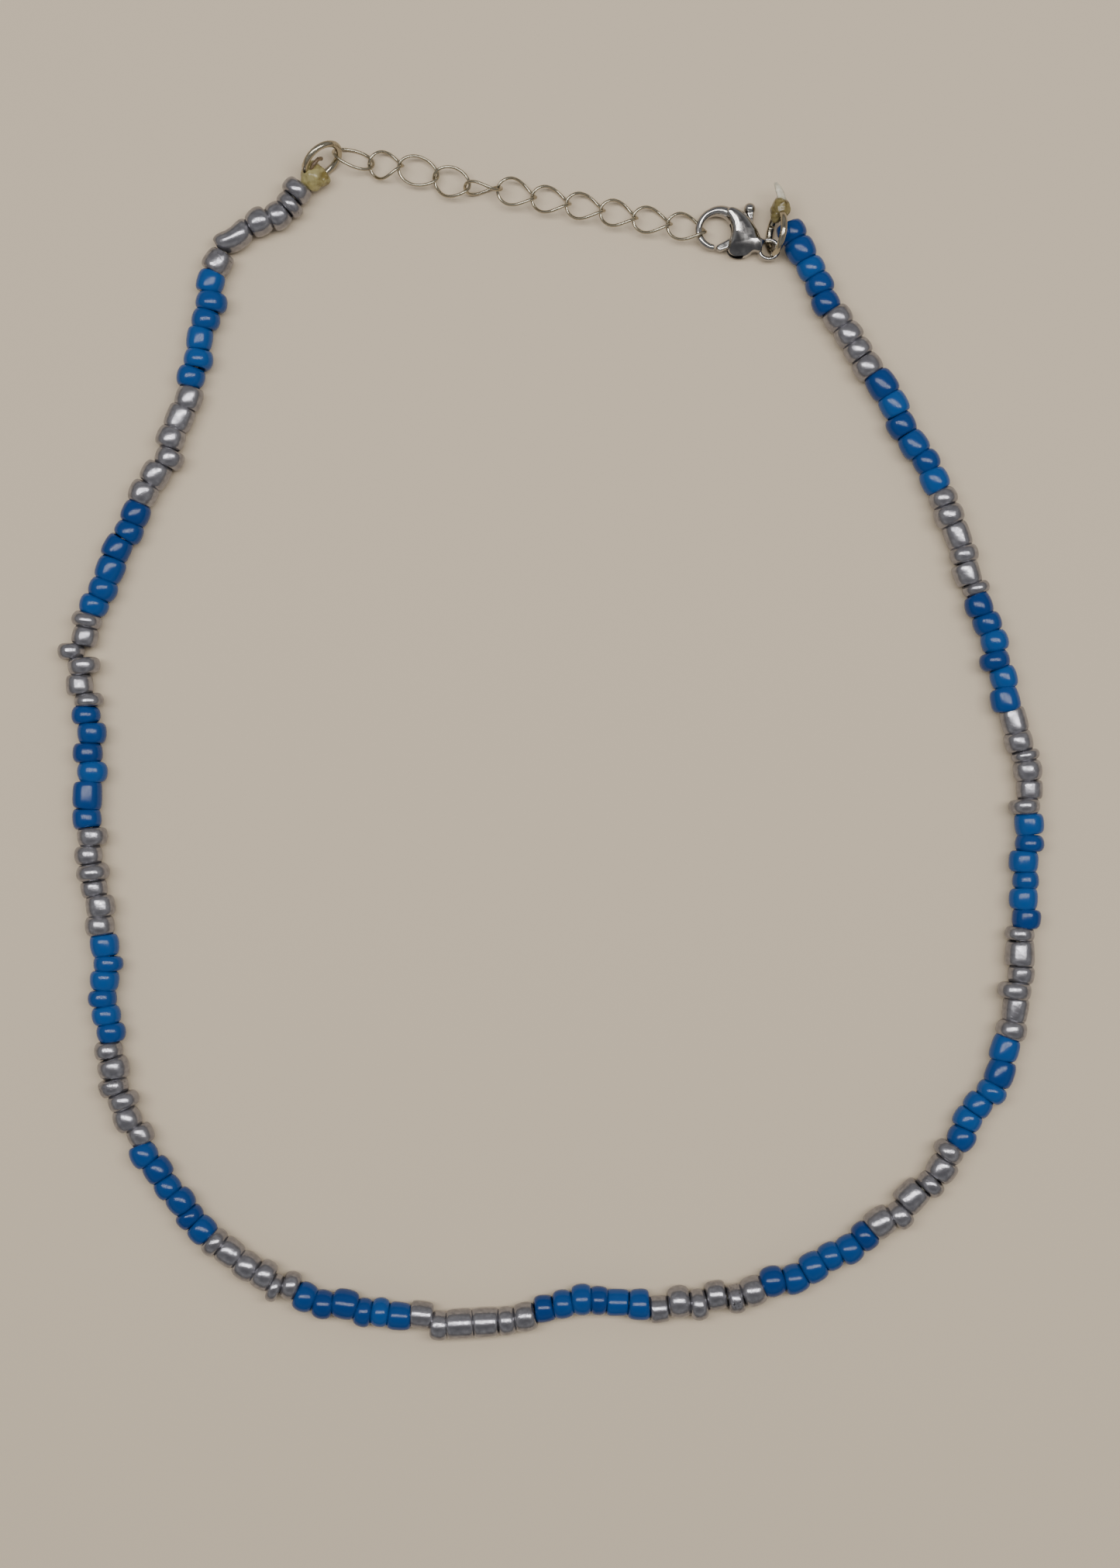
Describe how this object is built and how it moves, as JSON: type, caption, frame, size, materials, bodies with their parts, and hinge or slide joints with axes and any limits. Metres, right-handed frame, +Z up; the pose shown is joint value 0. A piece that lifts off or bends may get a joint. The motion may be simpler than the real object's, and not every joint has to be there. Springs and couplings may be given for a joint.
{
  "type": "beaded necklace",
  "caption": "Choker of small blue and silver glass beads in alternating runs on a thread, with an extender chain and a sprung lobster clasp, lying closed on a flat surface.",
  "frame": {"origin": "middle of the outline, on the surface that the necklace lies on", "axes": "+Z up from the surface, +Y from the bottom of the bead loop towards the chain and clasp, +X to the viewer's right"},
  "size_m": [0.1323, 0.1603, 0.006],
  "materials": {
    "bead_glass": "opaque glossy glass, in runs of deep blue and of worn metallic silver paint",
    "chain_wire": "bright silver-plated wire",
    "clasp_steel": "polished cast metal",
    "glue": "yellowish clear glue over a thread knot"
  },
  "bodies": {
    "necklace": {"bead_string_left": "bead_glass", "bead_string_right": "bead_glass", "thread_knot_left": "glue", "thread_knot_right": "glue", "jump_ring_left": "chain_wire", "jump_ring_right": "chain_wire", "chain_link_01": "chain_wire", "chain_link_02": "chain_wire", "chain_link_03": "chain_wire", "chain_link_04": "chain_wire", "chain_link_05": "chain_wire", "chain_link_06": "chain_wire", "chain_link_07": "chain_wire", "chain_link_08": "chain_wire", "chain_link_09": "chain_wire", "chain_link_10": "chain_wire", "chain_link_11": "chain_wire", "clasp_body": "clasp_steel", "clasp_pin": "clasp_steel"},
    "lever": {"clasp_lever": "clasp_steel"}
  },
  "joints": [
    {"name": "lever_hinge", "type": "hinge", "parent": "necklace", "child": "lever", "pos_m": [0.02584, 0.06762, 0.00145], "axis": [0, 0, -1], "range_deg": [0, 28], "stiffness_Nm_per_rad": 0.002, "springref_deg": -17.19}
  ]
}
